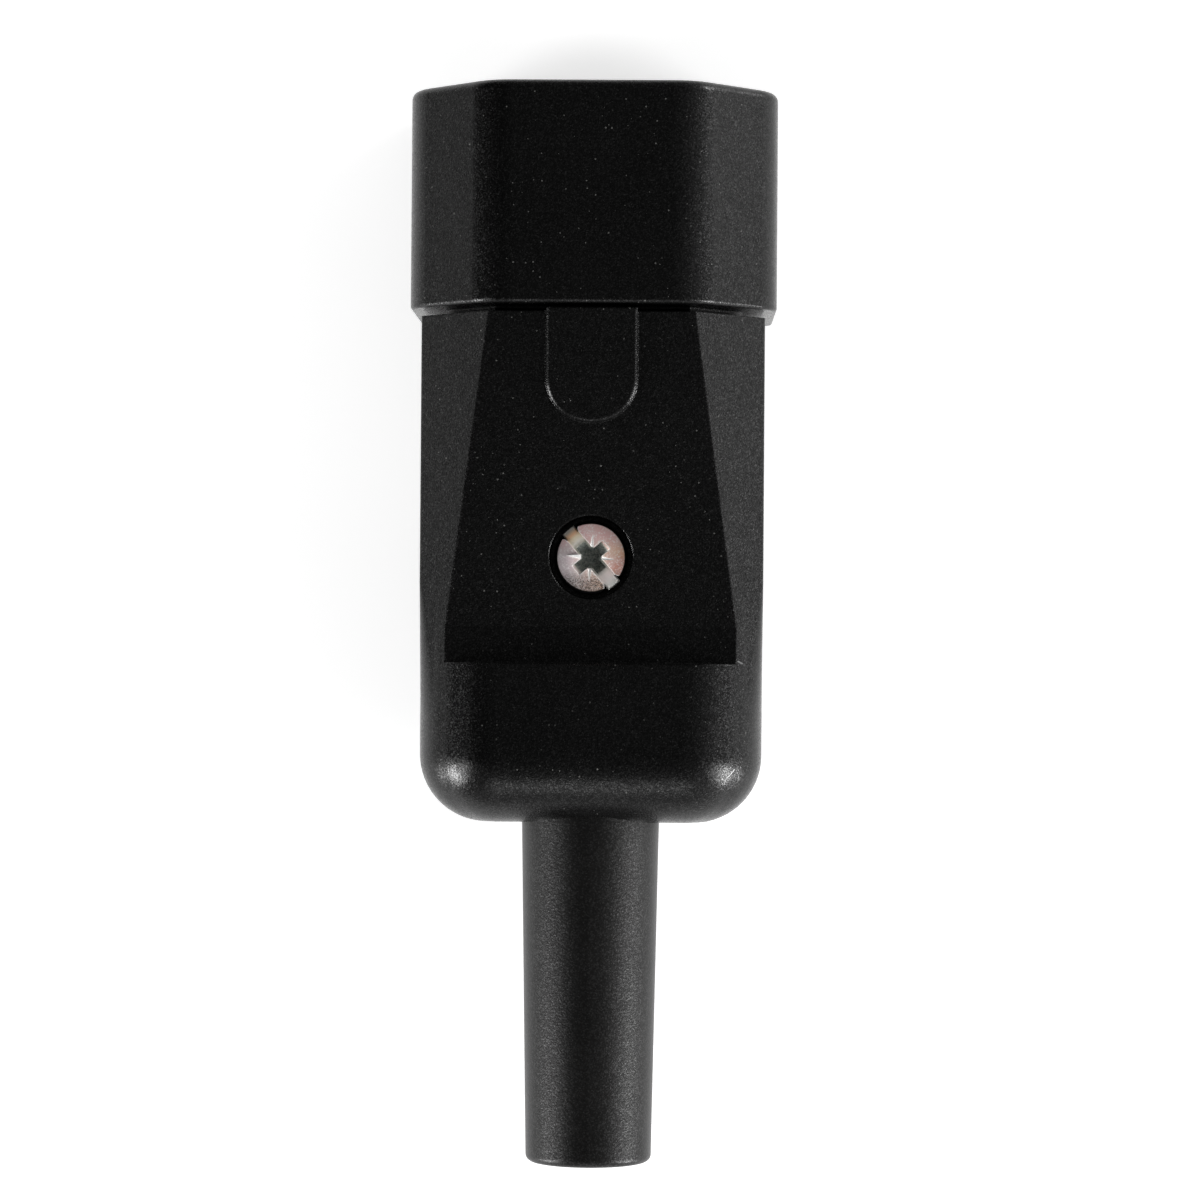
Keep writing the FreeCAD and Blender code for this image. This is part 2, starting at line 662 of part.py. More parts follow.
def make_upper_shell():
    """Upper half of the body: thumb flat, raised key, shoulder and the cover screw's counterbore."""
    body = shell_outside("upper_shell", upper=True)
    hollow(body)
    add_crisp_edges(body)

    # Bevel along the step's upper edge.
    sketch = new_sketch(body, "YZ_Plane", 0)
    ahead = d.step_bevel - step_back
    over = shoulder_top + d.step_bevel
    draw_outline(sketch, [(ahead, over), (ahead - 3 * d.step_bevel, over), (ahead, over - 3 * d.step_bevel)])
    pocket(sketch, d.hood_width, centred=True)

    # Raised key, following the thumb flat from the hood to its round end.
    front = d.hood_length + d.key_gap
    rear = d.hood_length + d.key_length
    sketch = new_sketch(body, "XY_Plane", body_top - d.shell_wall)
    draw_box(sketch, -d.key_width / 2, -rear, d.key_width / 2, -front)
    pad(sketch, d.shell_wall + d.key_rise)
    fillet(body, d.key_round, lambda b: b.ZLength > d.key_rise.value and lies_back(b, rear)
           and b.XLength < FINE)
    sketch = new_sketch(body, "YZ_Plane", 0)
    key_front = body_top + d.key_rise
    key_rear = key_front - grip_slope * d.key_length
    key_over = key_front + d.overlap
    draw_outline(sketch, [(-d.hood_length, key_front), (-rear, key_rear), (-rear, key_over),
                          (-d.hood_length, key_over)])
    pocket(sketch, d.key_width + d.overlap, centred=True)
    fillet(body, d.key_edge, lambda b: rises_to_key(b) and b.YMax < -front.value + FINE
           and not lies_back(b, front))

    # Pillar, counterbore and clearance hole of the cover screw.
    add_pillar(body, d.parting_height, head_seat + d.shell_wall)
    sketch = new_sketch(body, "XY_Plane", body_top)
    draw_circle(sketch, 0, -screw_back, d.counterbore)
    pocket(sketch, body_top - head_seat)
    sketch = new_sketch(body, "XY_Plane", body_top)
    draw_circle(sketch, 0, -screw_back, d.screw_clearance)
    pocket(sketch, body_top)

    # Stop behind the earth terminal.
    sketch = new_sketch(body, "XZ_Plane", d.shelf_back + 2 * d.slack)
    stop_low = pin_middle + d.pin_offset / 2 + d.wire_hole / 2 - d.wire_offset
    stop_high = body_top - grip_slope * (d.shelf_back - d.hood_length) - d.shell_wall / 2
    draw_box(sketch, -d.terminal_side / 2, stop_low, d.terminal_side / 2, stop_high)
    pad(sketch, d.rib_width)
    add_locking_rib(body, upper=True)
    add_collar(body, upper=True)
    return body


def rises_to_key(bounds):
    """Whether an edge lies in the sloping top of the raised key."""
    tops = [(bounds.YMax, bounds.ZMax), (bounds.YMin, bounds.ZMin)]
    key_front = body_top + d.key_rise
    return all(close_to(z, key_front + grip_slope * (d.hood_length + y)) for y, z in tops)


def add_pillar(body, low, high):
    sketch = new_sketch(body, "XY_Plane", low)
    draw_circle(sketch, 0, -screw_back, d.pillar)
    pad(sketch, high - low)


def hexagon(across_flats):
    """Corners of the nut round the cover screw's axis."""
    reach = across_flats / math.sqrt(3.0)
    turns = [math.radians(60 * index) for index in range(6)]
    return [(reach * math.cos(turn), reach * math.sin(turn) - screw_back) for turn in turns]


def make_lower_shell():
    """Lower half of the body: finger flat, nut pocket, cord saddle and the posts of the cord clamp."""
    body = shell_outside("lower_shell", upper=False)
    hollow(body)

    # Pillar with a nut pocket from below and a clearance hole.
    add_pillar(body, body_low + d.under_drop, d.parting_height)
    sketch = new_sketch(body, "XY_Plane", d.nut_seat)
    draw_outline(sketch, hexagon(d.nut_flats + d.slack))
    pocket(sketch, d.nut_seat)
    sketch = new_sketch(body, "XY_Plane", d.parting_height)
    draw_circle(sketch, 0, -screw_back, d.screw_clearance)
    pocket(sketch, d.parting_height)

    # Stop behind the line and neutral terminals.
    sketch = new_sketch(body, "XZ_Plane", d.shelf_back + 2 * d.slack)
    stop_half = d.pin_pitch / 2 + d.terminal_side / 2
    stop_high = pin_middle - d.pin_offset / 2 - d.wire_hole / 2 - d.wire_offset
    draw_box(sketch, -stop_half, body_low + d.shell_wall, stop_half, stop_high)
    pad(sketch, d.rib_width)

    # Saddle under the cord, with a post on either side for the clamp screws.
    saddle_front = d.clamp_back - d.saddle_width / 2
    sketch = new_sketch(body, "XZ_Plane", saddle_front)
    reach = d.clamp_pitch / 2
    foot = body_low + d.shell_wall / 2
    draw_box(sketch, -reach, foot, reach, d.parting_height - d.rib_width)
    pad(sketch, d.saddle_width)
    sketch = new_sketch(body, "XZ_Plane", saddle_front)
    draw_circle(sketch, 0, d.parting_height, d.cord_channel)
    pocket(sketch, d.saddle_width, backwards=True)
    sketch = new_sketch(body, "XY_Plane", foot)
    for side in (-1, 1):
        draw_circle(sketch, reach * side, -d.clamp_back, d.post)
    pad(sketch, d.post_top - foot)
    sketch = new_sketch(body, "XY_Plane", d.post_top)
    for side in (-1, 1):
        draw_circle(sketch, reach * side, -d.clamp_back, d.tapped)
    pocket(sketch, d.clamp_screw_length - d.clamp_height + 2 * d.slack)
    add_locking_rib(body, upper=False)
    add_collar(body, upper=False)
    return body


def make_cord_clamp():
    """Bar of the cord grip: two screw holes and two ridges that bite on the cord."""
    body = new_body("cord_clamp")
    reach = d.clamp_span / 2
    front = d.clamp_back - d.clamp_width / 2
    rear = d.clamp_back + d.clamp_width / 2
    sketch = new_sketch(body, "XY_Plane", d.post_top)
    draw_box(sketch, -reach, -rear, reach, -front)
    pad(sketch, d.clamp_height)
    fillet(body, d.clamp_width / 3, lambda b: b.XLength < FINE and b.YLength < FINE)
    ridge = d.clamp_width / 6
    root = d.post_top + ridge / 2
    crest = d.post_top - ridge / 2
    sketch = new_sketch(body, "YZ_Plane", 0)
    for middle in (front + ridge, rear - ridge):
        draw_outline(sketch, [(-middle - ridge / 2, root), (-middle + ridge / 2, root), (-middle, crest)])
    pad(sketch, d.cord_channel, centred=True)
    sketch = new_sketch(body, "XY_Plane", d.post_top + d.clamp_height)
    for side in (-1, 1):
        draw_circle(sketch, d.clamp_pitch / 2 * side, -d.clamp_back, d.screw_clearance)
    pocket(sketch, d.clamp_height * 2)
    return body


def make_cover_screw():
    """Pan head machine screw with a cross recess, fine ticks between its arms and a through slot."""
    body = new_body("cover_screw")
    top = head_seat + d.cover_head_height
    sketch = new_sketch(body, "XY_Plane", head_seat)
    draw_circle(sketch, 0, -screw_back, d.cover_head)
    pad(sketch, d.cover_head_height)
    fillet(body, d.cover_head_round, lambda b: lies_at(b, top))
    sketch = new_sketch(body, "XY_Plane", head_seat)
    draw_circle(sketch, 0, -screw_back, d.thread)
    pad(sketch, d.cover_screw_length, backwards=True)
    chamfer(body, d.thread / 10, lambda b: lies_at(b, head_seat - d.cover_screw_length))
    cuts = [
        (0, d.cover_head + d.overlap, d.cover_slot_width, d.slot_depth),
        (0, d.cross_reach, d.cross_width, d.cross_depth),
        (90, d.cross_reach, d.cross_width, d.cross_depth),
        (45, d.tick_reach, d.tick_width, d.tick_depth),
        (135, d.tick_reach, d.tick_width, d.tick_depth),
    ]
    for turn, reach, width, depth in cuts:
        sketch = new_sketch(body, "XY_Plane", top)
        draw_outline(sketch, turned_bar(turn + d.slot_angle.value, reach, width))
        pocket(sketch, depth)
    return body


def turned_bar(turn, length, width):
    """Corners of a bar across the cover screw's axis, turned in plan."""
    cosine = math.cos(math.radians(turn))
    sine = math.sin(math.radians(turn))
    corners = []
    for along, across in [(-1, -1), (1, -1), (1, 1), (-1, 1)]:
        x = length / 2 * along * cosine - width / 2 * across * sine
        y = length / 2 * along * sine + width / 2 * across * cosine
        corners.append((x, y - screw_back))
    return corners


def make_cover_nut():
    """Hexagon nut that the cover screw pulls up against the lower shell."""
    body = new_body("cover_nut")
    sketch = new_sketch(body, "XY_Plane", d.nut_seat)
    draw_outline(sketch, hexagon(d.nut_flats))
    pad(sketch, d.nut_height, backwards=True)
    sketch = new_sketch(body, "XY_Plane", d.nut_seat)
    draw_circle(sketch, 0, -screw_back, d.tapped)
    pocket(sketch, d.nut_height)
    return body


def make_cable_boot():
    """Tapered bend protector, turned round the cable axis, with the flange that the shells hold."""
    body = new_body("cable_boot")
    sketch = new_sketch(body, "YZ_Plane", 0)
    bore = d.boot_bore / 2
    neck = d.boot_root / 2
    end = body_rear + d.boot_length
    flange_rear = d.flange_back + d.flange_width
    brim = d.flange / 2
    profile = [
        (d.boot_front, bore), (end, bore), (end, d.boot_tip / 2), (body_rear, neck),
        (flange_rear, neck), (flange_rear, brim), (d.flange_back, brim), (d.flange_back, neck),
        (d.boot_front, neck),
    ]
    draw_outline(sketch, [(-back, radius) for back, radius in profile])
    sketch.setExpression("AttachmentOffset.Base.y", d.parting_height.text)
    revolve(sketch, "H_Axis")
    fillet(body, d.boot_round, lambda b: lies_back(b, end) and b.XLength > (d.boot_bore + d.overlap).value)
    return body


PINS = [
    ("line", -d.pin_pitch / 2, pin_middle - d.pin_offset / 2, d.line_recess),
    ("neutral", d.pin_pitch / 2, pin_middle - d.pin_offset / 2, d.line_recess),
    ("earth", as_size(0), pin_middle + d.pin_offset / 2, d.earth_recess),
]
terminal_middle = d.floor_back + d.terminal_length / 2

make_shroud()
make_upper_shell()
make_lower_shell()
make_cable_boot()
make_cover_screw()
make_cover_nut()
make_cord_clamp()
for pin_name, pin_x, pin_z, tip_recess in PINS:
    make_pin(pin_name, pin_x, pin_z, tip_recess)
    make_wire_guard(pin_name, pin_x, pin_z)
    screw_seat = pin_z + d.terminal_side / 2 + 2 * d.slack
    screw_name = f"{pin_name}_terminal_screw"
    make_small_screw(screw_name, pin_x, terminal_middle, screw_seat, d.terminal_screw_length)
for side_name, side in (("left", -1), ("right", 1)):
    clamp_x = d.clamp_pitch / 2 * side
    clamp_seat = d.post_top + d.clamp_height
    make_small_screw(f"{side_name}_clamp_screw", clamp_x, d.clamp_back, clamp_seat, d.clamp_screw_length)

document.recompute()
failed = [item.Label for item in document.Objects if "Invalid" in item.State or "Error" in item.State]
if failed:
    raise RuntimeError(f"failed: {failed}")
bodies = [item for item in document.Objects if item.TypeId == "PartDesign::Body"]
for body in bodies:
    if body.Shape.isNull() or not body.Shape.isValid() or len(body.Shape.Solids) != 1:
        raise RuntimeError(f"{body.Label}: not one valid solid")
os.makedirs("parts", exist_ok=True)
for body in bodies:
    body.Shape.exportStep(f"parts/{body.Label}.step")
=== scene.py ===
import json
import math

import bpy
from mathutils import Euler, Matrix, Vector

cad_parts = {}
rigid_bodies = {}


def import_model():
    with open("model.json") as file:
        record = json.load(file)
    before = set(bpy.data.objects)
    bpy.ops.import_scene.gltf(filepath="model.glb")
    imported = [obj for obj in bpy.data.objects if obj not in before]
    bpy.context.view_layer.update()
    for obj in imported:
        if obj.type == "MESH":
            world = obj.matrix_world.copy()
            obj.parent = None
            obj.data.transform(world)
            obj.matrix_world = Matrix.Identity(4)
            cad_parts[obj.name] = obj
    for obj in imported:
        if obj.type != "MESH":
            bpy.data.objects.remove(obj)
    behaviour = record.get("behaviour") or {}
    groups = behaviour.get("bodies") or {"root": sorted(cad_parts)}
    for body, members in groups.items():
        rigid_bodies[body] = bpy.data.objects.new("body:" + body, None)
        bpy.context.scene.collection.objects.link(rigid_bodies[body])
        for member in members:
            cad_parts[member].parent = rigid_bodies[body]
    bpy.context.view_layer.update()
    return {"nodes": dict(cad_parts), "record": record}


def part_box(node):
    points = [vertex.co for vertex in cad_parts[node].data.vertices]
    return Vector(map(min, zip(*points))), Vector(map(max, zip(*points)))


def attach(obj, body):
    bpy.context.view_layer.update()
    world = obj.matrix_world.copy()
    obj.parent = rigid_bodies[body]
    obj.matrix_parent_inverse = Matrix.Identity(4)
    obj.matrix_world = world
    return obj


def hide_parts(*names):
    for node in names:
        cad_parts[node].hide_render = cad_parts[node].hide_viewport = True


# Looks of an inline power plug that lies on a white table, seen straight from above.
# Everything is in metres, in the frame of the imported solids: +Y towards the hood's rim, +Z up.

MM = 0.001
# Turn of the cover screw's slot from +X.
SLOT_TURN = math.radians(130.5)

for leftover in list(bpy.data.objects):
    bpy.data.objects.remove(leftover)

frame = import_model()
nodes = frame["nodes"]
scene = bpy.context.scene
scene.view_settings.view_transform = "Standard"


# Materials

class Shading:
    """Short ways to add shader nodes to a tree."""

    def __init__(self, tree):
        self.tree = tree

    def add(self, kind, **settings):
        node = self.tree.nodes.new(kind)
        for name, value in settings.items():
            setattr(node, name, value)
        return node

    def link(self, source, target):
        self.tree.links.new(source, target)

    def math(self, operation, first, second):
        node = self.add("ShaderNodeMath", operation=operation)
        for socket, value in zip(node.inputs, (first, second)):
            if isinstance(value, (int, float)):
                socket.default_value = value
            else:
                self.link(value, socket)
        return node.outputs["Value"]

    def absolute(self, value):
        return self.math("ABSOLUTE", value, 0.0)

    def ramp(self, factor, *stops):
        """Colours by factor: stops are (position, colour)."""
        node = self.add("ShaderNodeValToRGB")
        elements = node.color_ramp.elements
        for element, (position, colour) in zip(elements, (stops[0], stops[-1])):
            element.position = position
            element.color = (*colour, 1.0)
        for position, colour in stops[1:-1]:
            elements.new(position).color = (*colour, 1.0)
        self.link(factor, node.inputs["Fac"])
        return node.outputs["Color"]

    def spread(self, factor, low, high, start=0.0, end=1.0):
        """Passes from low to high while the factor goes from start to end, and stays level beyond."""
        node = self.add("ShaderNodeMapRange")
        for name, value in (("From Min", start), ("From Max", end), ("To Min", low), ("To Max", high)):
            node.inputs[name].default_value = value
        self.link(factor, node.inputs["Value"])
        return node.outputs["Result"]

    def mix(self, factor, first, second):
        """From the first colour at factor 0 to the second at 1."""
        node = self.add("ShaderNodeMix", data_type="RGBA")
        self.link(factor, node.inputs["Factor"])
        for name, value in (("A", first), ("B", second)):
            socket = next(s for s in node.inputs if s.name == name and s.type == "RGBA")
            if isinstance(value, tuple):
                socket.default_value = (*value, 1.0)
            else:
                self.link(value, socket)
        return next(s for s in node.outputs if s.type == "RGBA")


class Finish(Shading):
    """A material with one surface shader."""

    def __init__(self, name):
        self.material = bpy.data.materials.new(name)
        self.material.use_nodes = True
        super().__init__(self.material.node_tree)
        self.shader = self.tree.nodes["Principled BSDF"]
        self.place = self.add("ShaderNodeTexCoord").outputs["Object"]

    def set(self, **values):
        """Sets the shader's sockets to plain values."""
        for name, value in values.items():
            self.shader.inputs[name.replace("_", " ")].default_value = value

    def drive(self, **sources):
        """Links what varies over the surface to the shader's sockets."""
        for name, source in sources.items():
            self.link(source, self.shader.inputs[name.replace("_", " ")])

    def noise(self, size, detail=2.0, roughness=0.5):
        """Cloudy noise whose lumps are about this size."""
        node = self.add("ShaderNodeTexNoise")
        node.inputs["Scale"].default_value = 1.0 / size
        node.inputs["Detail"].default_value = detail
        node.inputs["Roughness"].default_value = roughness
        self.link(self.place, node.inputs["Vector"])
        return node.outputs["Fac"]

    def grains(self, size):
        """Grains of this size: how far their middles are, in sizes, and three values of each one's own."""
        cells = self.add("ShaderNodeTexVoronoi")
        cells.inputs["Scale"].default_value = 1.0 / size
        self.link(self.place, cells.inputs["Vector"])
        own = self.add("ShaderNodeSeparateColor")
        self.link(cells.outputs["Color"], own.inputs["Color"])
        return cells.outputs["Distance"], own.outputs

    def specks(self, spacing, radius, share):
        """A share of scattered dots, each with its own size up to this radius and its own strength."""
        smallest, faintest = 0.3, 0.25
        distance, own = self.grains(spacing)
        limit = self.spread(own["Green"], smallest * radius / spacing, radius / spacing)
        near = self.math("LESS_THAN", distance, limit)
        chosen = self.math("LESS_THAN", own["Red"], share)
        strength = self.spread(own["Blue"], faintest, 1.0)
        return self.math("MULTIPLY", self.math("MULTIPLY", near, chosen), strength)

    def axes(self, turn=0.0, place=None):
        """The three coordinates of a place in the piece's own frame, turned back about Z by this angle."""
        turned = self.add("ShaderNodeMapping")
        turned.inputs["Rotation"].default_value[2] = -turn
        self.link(place or self.place, turned.inputs["Vector"])
        node = self.add("ShaderNodeSeparateXYZ")
        self.link(turned.outputs["Vector"], node.inputs["Vector"])
        return node.outputs

    def stroke(self, start, end, width):
        """1 inside a straight stroke from one place on the plan to another, 0 elsewhere."""
        middle = [(a + b) / 2 for a, b in zip(start, end)]
        turn = math.atan2(end[1] - start[1], end[0] - start[0])
        moved = self.add("ShaderNodeVectorMath", operation="SUBTRACT")
        moved.inputs[1].default_value = (*middle, 0.0)
        self.link(self.place, moved.inputs[0])
        along, aside, _ = self.axes(turn, moved.outputs["Vector"])
        near = self.math("LESS_THAN", self.absolute(aside), width / 2)
        within = self.math("LESS_THAN", self.absolute(along), math.dist(start, end) / 2)
        return self.math("MULTIPLY", near, within)

    def edges(self, width):
        """1 along sharp edges, 0 elsewhere."""
        bevel = self.add("ShaderNodeBevel", samples=6)
        bevel.inputs["Radius"].default_value = width
        true = self.add("ShaderNodeNewGeometry")
        agree = self.add("ShaderNodeVectorMath", operation="DOT_PRODUCT")
        self.link(bevel.outputs["Normal"], agree.inputs[0])
        self.link(true.outputs["Normal"], agree.inputs[1])
        return self.spread(agree.outputs["Value"], 1.0, 0.0, 0.9, 0.99)

    def bump(self, height, depth, edge=0.0):
        """Bump of this depth in metres, over edges rounded by this radius."""
        node = self.add("ShaderNodeBump")
        node.inputs["Strength"].default_value = 1.0
        node.inputs["Distance"].default_value = depth
        self.link(height, node.inputs["Height"])
        if edge:
            bevel = self.add("ShaderNodeBevel", samples=4)
            bevel.inputs["Radius"].default_value = edge
            self.link(bevel.outputs["Normal"], node.inputs["Normal"])
        self.drive(Normal=node.outputs["Normal"])


def housing_finish(name, dark_behind=None, marks=()):
    """Black moulded plastic with a fine spark-eroded grain, a little dust and some pale marks.

    What lies behind the place dark_behind, along Y, has no shine: painted shade in the gap between the hood
    and the shells.
    """
    finish = Finish(name)
    _, own = finish.grains(0.09 * MM)
    shine = finish.spread(finish.math("POWER", own["Red"], 3.0), 0.56, 2.3)
    # Painted shade: no shine in the gap between the hood and the shells.
    if dark_behind is not None:
        fade = 0.1 * MM
        ahead = finish.spread(finish.axes()["Y"], 0.0, 1.0, dark_behind - fade, dark_behind)
        shine = finish.math("MULTIPLY", shine, ahead)
    finish.set(Specular_IOR_Level=0.27)
    grain = finish.noise(0.14 * MM, detail=2.0, roughness=0.6)
    clouds = finish.noise(6 * MM)
    dust = finish.specks(0.6 * MM, 0.075 * MM, 0.7)
    black = finish.ramp(clouds, (0.3, (0.0016, 0.0016, 0.0016)), (0.7, (0.0022, 0.0022, 0.0022)))
    tint = finish.mix(dust, black, (0.12, 0.12, 0.115))
    for start, end, width, level in marks:
        tint = finish.mix(finish.stroke(start, end, width), tint, (level, level, level))
    rough = finish.spread(finish.math("POWER", own["Green"], 2.0), 0.16, 0.44)
    finish.drive(Base_Color=tint, Specular_Tint=shine, Roughness=rough)
    finish.bump(grain, 0.02 * MM, 0.2 * MM)
    return finish.material


def boot_finish():
    """Soft black compound, a little lighter and warmer than the housing."""
    finish = Finish("boot")
    _, own = finish.grains(0.1 * MM)
    shine = finish.spread(finish.math("POWER", own["Red"], 3.0), 0.63, 2.1)
    finish.set(Specular_IOR_Level=0.285)
    grain = finish.noise(0.16 * MM, detail=2.0, roughness=0.6)
    clouds = finish.noise(5 * MM)
    black = finish.ramp(clouds, (0.3, (0.003, 0.0029, 0.0028)), (0.7, (0.004, 0.0038, 0.0036)))
    rough = finish.spread(clouds, 0.38, 0.4, 0.3, 0.7)
    finish.drive(Base_Color=black, Specular_Tint=shine, Roughness=rough)
    finish.bump(grain, 0.02 * MM, 0.15 * MM)
    return finish.material


def zinc_finish():
    """Bright zinc with the faint colours of its passivation."""
    finish = Finish("zinc_steel")
    finish.set(Metallic=1.0)
    clouds = finish.noise(1.6 * MM)
    scuffs = finish.noise(0.2 * MM, detail=4.0)
    tint = finish.ramp(clouds, (0.35, (0.72, 0.66, 0.67)), (0.5, (0.74, 0.73, 0.7)),
                       (0.65, (0.66, 0.72, 0.69)))
    finish.drive(Base_Color=tint, Roughness=finish.spread(scuffs, 0.22, 0.4, 0.3, 0.7))
    finish.bump(scuffs, 0.008 * MM, 0.08 * MM)
    return finish.material


def screw_finish():
    """Zinc of the cover screw: pink to tan on its crown, grimy below, with painted highlights on its edges
    and ticks, and painted shade in its recess and on the side of its head.
    """
    finish = Finish("cover_screw")
    crown_edge, slot_half, floor_level = 2.7 * MM, 0.6 * MM, -0.46 * MM
    across, up, height = finish.axes()
    along_slot, across_slot, _ = finish.axes(SLOT_TURN)
    along_tick, across_tick, _ = finish.axes(SLOT_TURN + math.pi / 4)
    radius = finish.math("POWER", finish.math("ADD", finish.math("POWER", across, 2.0),
                                              finish.math("POWER", up, 2.0)), 0.5)
    clouds = finish.noise(1.2 * MM)
    scuffs = finish.noise(0.16 * MM, detail=3.0, roughness=0.7)
    dirt = finish.noise(0.1 * MM, detail=1.0)

    # Crown.
    mauve, tan = (0.64, 0.55, 0.57), (0.8, 0.5, 0.31)
    tint = finish.mix(finish.spread(across, 0.0, 1.0, -1.8 * MM, 2.2 * MM), mauve, tan)
    tint = finish.mix(finish.spread(up, 0.0, 0.9, 0.2 * MM, 1.7 * MM), tint, (0.8, 0.5, 0.49))
    red = finish.math("MULTIPLY", finish.spread(across, 0.0, 0.8, 0.9 * MM, 1.5 * MM),
                      finish.spread(up, 1.0, 0.0, -0.2 * MM, 0.5 * MM))
    tint = finish.mix(red, tint, (0.66, 0.3, 0.26))
    tint = finish.mix(finish.spread(clouds, 0.0, 0.3, 0.4, 0.65), tint, (0.72, 0.7, 0.67))
    tint = finish.mix(finish.spread(scuffs, 0.0, 0.75, 0.5, 0.66), tint, (0.95, 0.92, 0.91))
    grime = finish.math("MULTIPLY", finish.spread(up, 0.9, 0.0, -1.9 * MM, -0.9 * MM),
                        finish.spread(dirt, 0.5, 1.0, 0.4, 0.6))
    tint = finish.mix(grime, tint, (0.03, 0.026, 0.02))

    # Floor of the slot, from its lower right end to its upper left end.
    floor = finish.ramp(finish.spread(along_slot, 0.0, 1.0, -3 * MM, 3 * MM),
                        (0.0, (0.95, 0.97, 0.92)), (0.17, (0.95, 0.87, 0.85)), (0.28, (0.85, 0.82, 0.77)),
                        (0.7, (0.64, 0.61, 0.46)), (0.78, (0.98, 0.97, 0.87)), (0.85, (0.97, 0.86, 0.64)),
                        (0.9, (0.85, 0.52, 0.3)), (0.96, (0.4, 0.37, 0.33)))
    tint = finish.mix(finish.spread(height, 1.0, 0.0, floor_level, floor_level + 0.06 * MM), tint, floor)

    # Painted shade on the side of the head, past its crown and in the rounded corners beside the slot: dark,
    # and with no shine.
    corners = finish.math("MULTIPLY", finish.spread(height, 1.0, 0.0, -0.5 * MM, -0.44 * MM),
                          finish.math("GREATER_THAN", radius, 2.1 * MM))
    past = finish.spread(radius, 0.0, 1.0, crown_edge, crown_edge + 0.06 * MM)
    beside_slot = finish.math("GREATER_THAN", finish.absolute(across_slot), slot_half)
    painted_shade_rim = finish.math("MULTIPLY", finish.math("MAXIMUM", past, corners), beside_slot)
    tint = finish.mix(painted_shade_rim, tint, (0.004, 0.004, 0.004))

    # Cross recess, darkened as painted shade.
    recess = finish.math("MULTIPLY", finish.spread(radius, 1.0, 0.0, 1.3 * MM, 1.75 * MM),
                         finish.spread(height, 1.0, 0.0, -0.6 * MM, -0.2 * MM))
    tint = finish.mix(recess, tint, finish.ramp(scuffs, (0.35, (0.1, 0.12, 0.11)), (0.65, (0.4, 0.43, 0.4))))
    # Edges and ticks, lightened as painted highlights.
    from_tick = finish.math("MINIMUM", finish.absolute(along_tick), finish.absolute(across_tick))
    in_tick = finish.math("LESS_THAN", from_tick, finish.spread(radius, 0.13 * MM, 0.0, 0.95 * MM, 1.95 * MM))
    painted_highlight = finish.math("MAXIMUM", finish.edges(0.15 * MM), in_tick)
    above_floor = finish.spread(height, 0.0, 1.0, floor_level, floor_level + 0.1 * MM)
    painted_highlight = finish.math("SUBTRACT", finish.math("MULTIPLY", painted_highlight, above_floor), painted_shade_rim)
    tint = finish.mix(painted_highlight, tint, (0.97, 0.97, 0.95))
    grime_and_painted_shade = finish.math("MAXIMUM", painted_shade_rim, grime)
    finish.drive(Base_Color=tint, Metallic=finish.spread(grime_and_painted_shade, 0.1, 0.0),
                 Specular_Tint=finish.spread(grime_and_painted_shade, 1.0, 0.0),
                 Roughness=finish.spread(scuffs, 0.32, 0.5, 0.3, 0.7))
    finish.bump(scuffs, 0.012 * MM)
    return finish.material


def nickel_finish():
    """Nickel plate over brass."""
    finish = Finish("plated_brass")
    finish.set(Metallic=1.0)
    clouds = finish.noise(2.5 * MM)
    scuffs = finish.noise(0.25 * MM, detail=4.0)
    tint = finish.ramp(clouds, (0.35, (0.68, 0.64, 0.58)), (0.65, (0.74, 0.71, 0.66)))
    finish.drive(Base_Color=tint, Roughness=finish.spread(scuffs, 0.2, 0.34, 0.3, 0.7))
    finish.bump(scuffs, 0.006 * MM, 0.08 * MM)
    return finish.material


def bronze_finish():
    """Rolled bronze strip."""
    finish = Finish("spring_bronze")
    finish.set(Metallic=1.0)
    clouds = finish.noise(1.5 * MM)
    tint = finish.ramp(clouds, (0.35, (0.62, 0.4, 0.22)), (0.65, (0.7, 0.48, 0.28)))
    finish.drive(Base_Color=tint, Roughness=finish.spread(clouds, 0.28, 0.4, 0.3, 0.7))
    finish.bump(clouds, 0.01 * MM)
    return finish.material


def clamp_finish():
    """Dark grey moulded plastic of the cord clamp."""
    finish = Finish("clamp")
    clouds = finish.noise(2.0 * MM)
    grain = finish.noise(0.15 * MM, detail=3.0)
    grey = finish.ramp(clouds, (0.3, (0.055, 0.055, 0.055)), (0.7, (0.08, 0.08, 0.08)))
    finish.drive(Base_Color=grey, Roughness=finish.spread(clouds, 0.45, 0.55, 0.3, 0.7))
    finish.bump(grain, 0.015 * MM, 0.1 * MM)
    return finish.material


# Pale marks on the upper shell, as they lie on the plan: start, end, width and level.
LINT = ((11.17 * MM, -12.13 * MM), (11.81 * MM, -11.4 * MM), 0.07 * MM, 0.3)
SCUFF = ((12.0 * MM, -2.6 * MM), (12.4 * MM, -2.8 * MM), 0.12 * MM, 0.12)

finishes = {
    "housing": housing_finish("housing"),
    "boot": boot_finish(),
    "zinc_steel": zinc_finish(),
    "plated_brass": nickel_finish(),
    "spring_bronze": bronze_finish(),
    "clamp": clamp_finish(),
}
for subpart in frame["record"]["subparts"]:
    nodes[subpart["node"]].material_slots[0].material = finishes[subpart["material_slot"]]

# Place along Y in the gap between the hood and the shells.
gap_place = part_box("upper_shell")[1].y + 0.2 * MM
nodes["shroud"].material_slots[0].material = housing_finish("shroud", dark_behind=gap_place)
nodes["upper_shell"].material_slots[0].material = housing_finish("upper_shell", marks=(LINT, SCUFF))


# Cover screw, in millimetres round the middle of its crown

def solid(name, points, faces):
    mesh = bpy.data.meshes.new(name)
    mesh.from_pydata(points, [], faces)
    made = bpy.data.objects.new(name, mesh)
    scene.collection.objects.link(made)
    return made


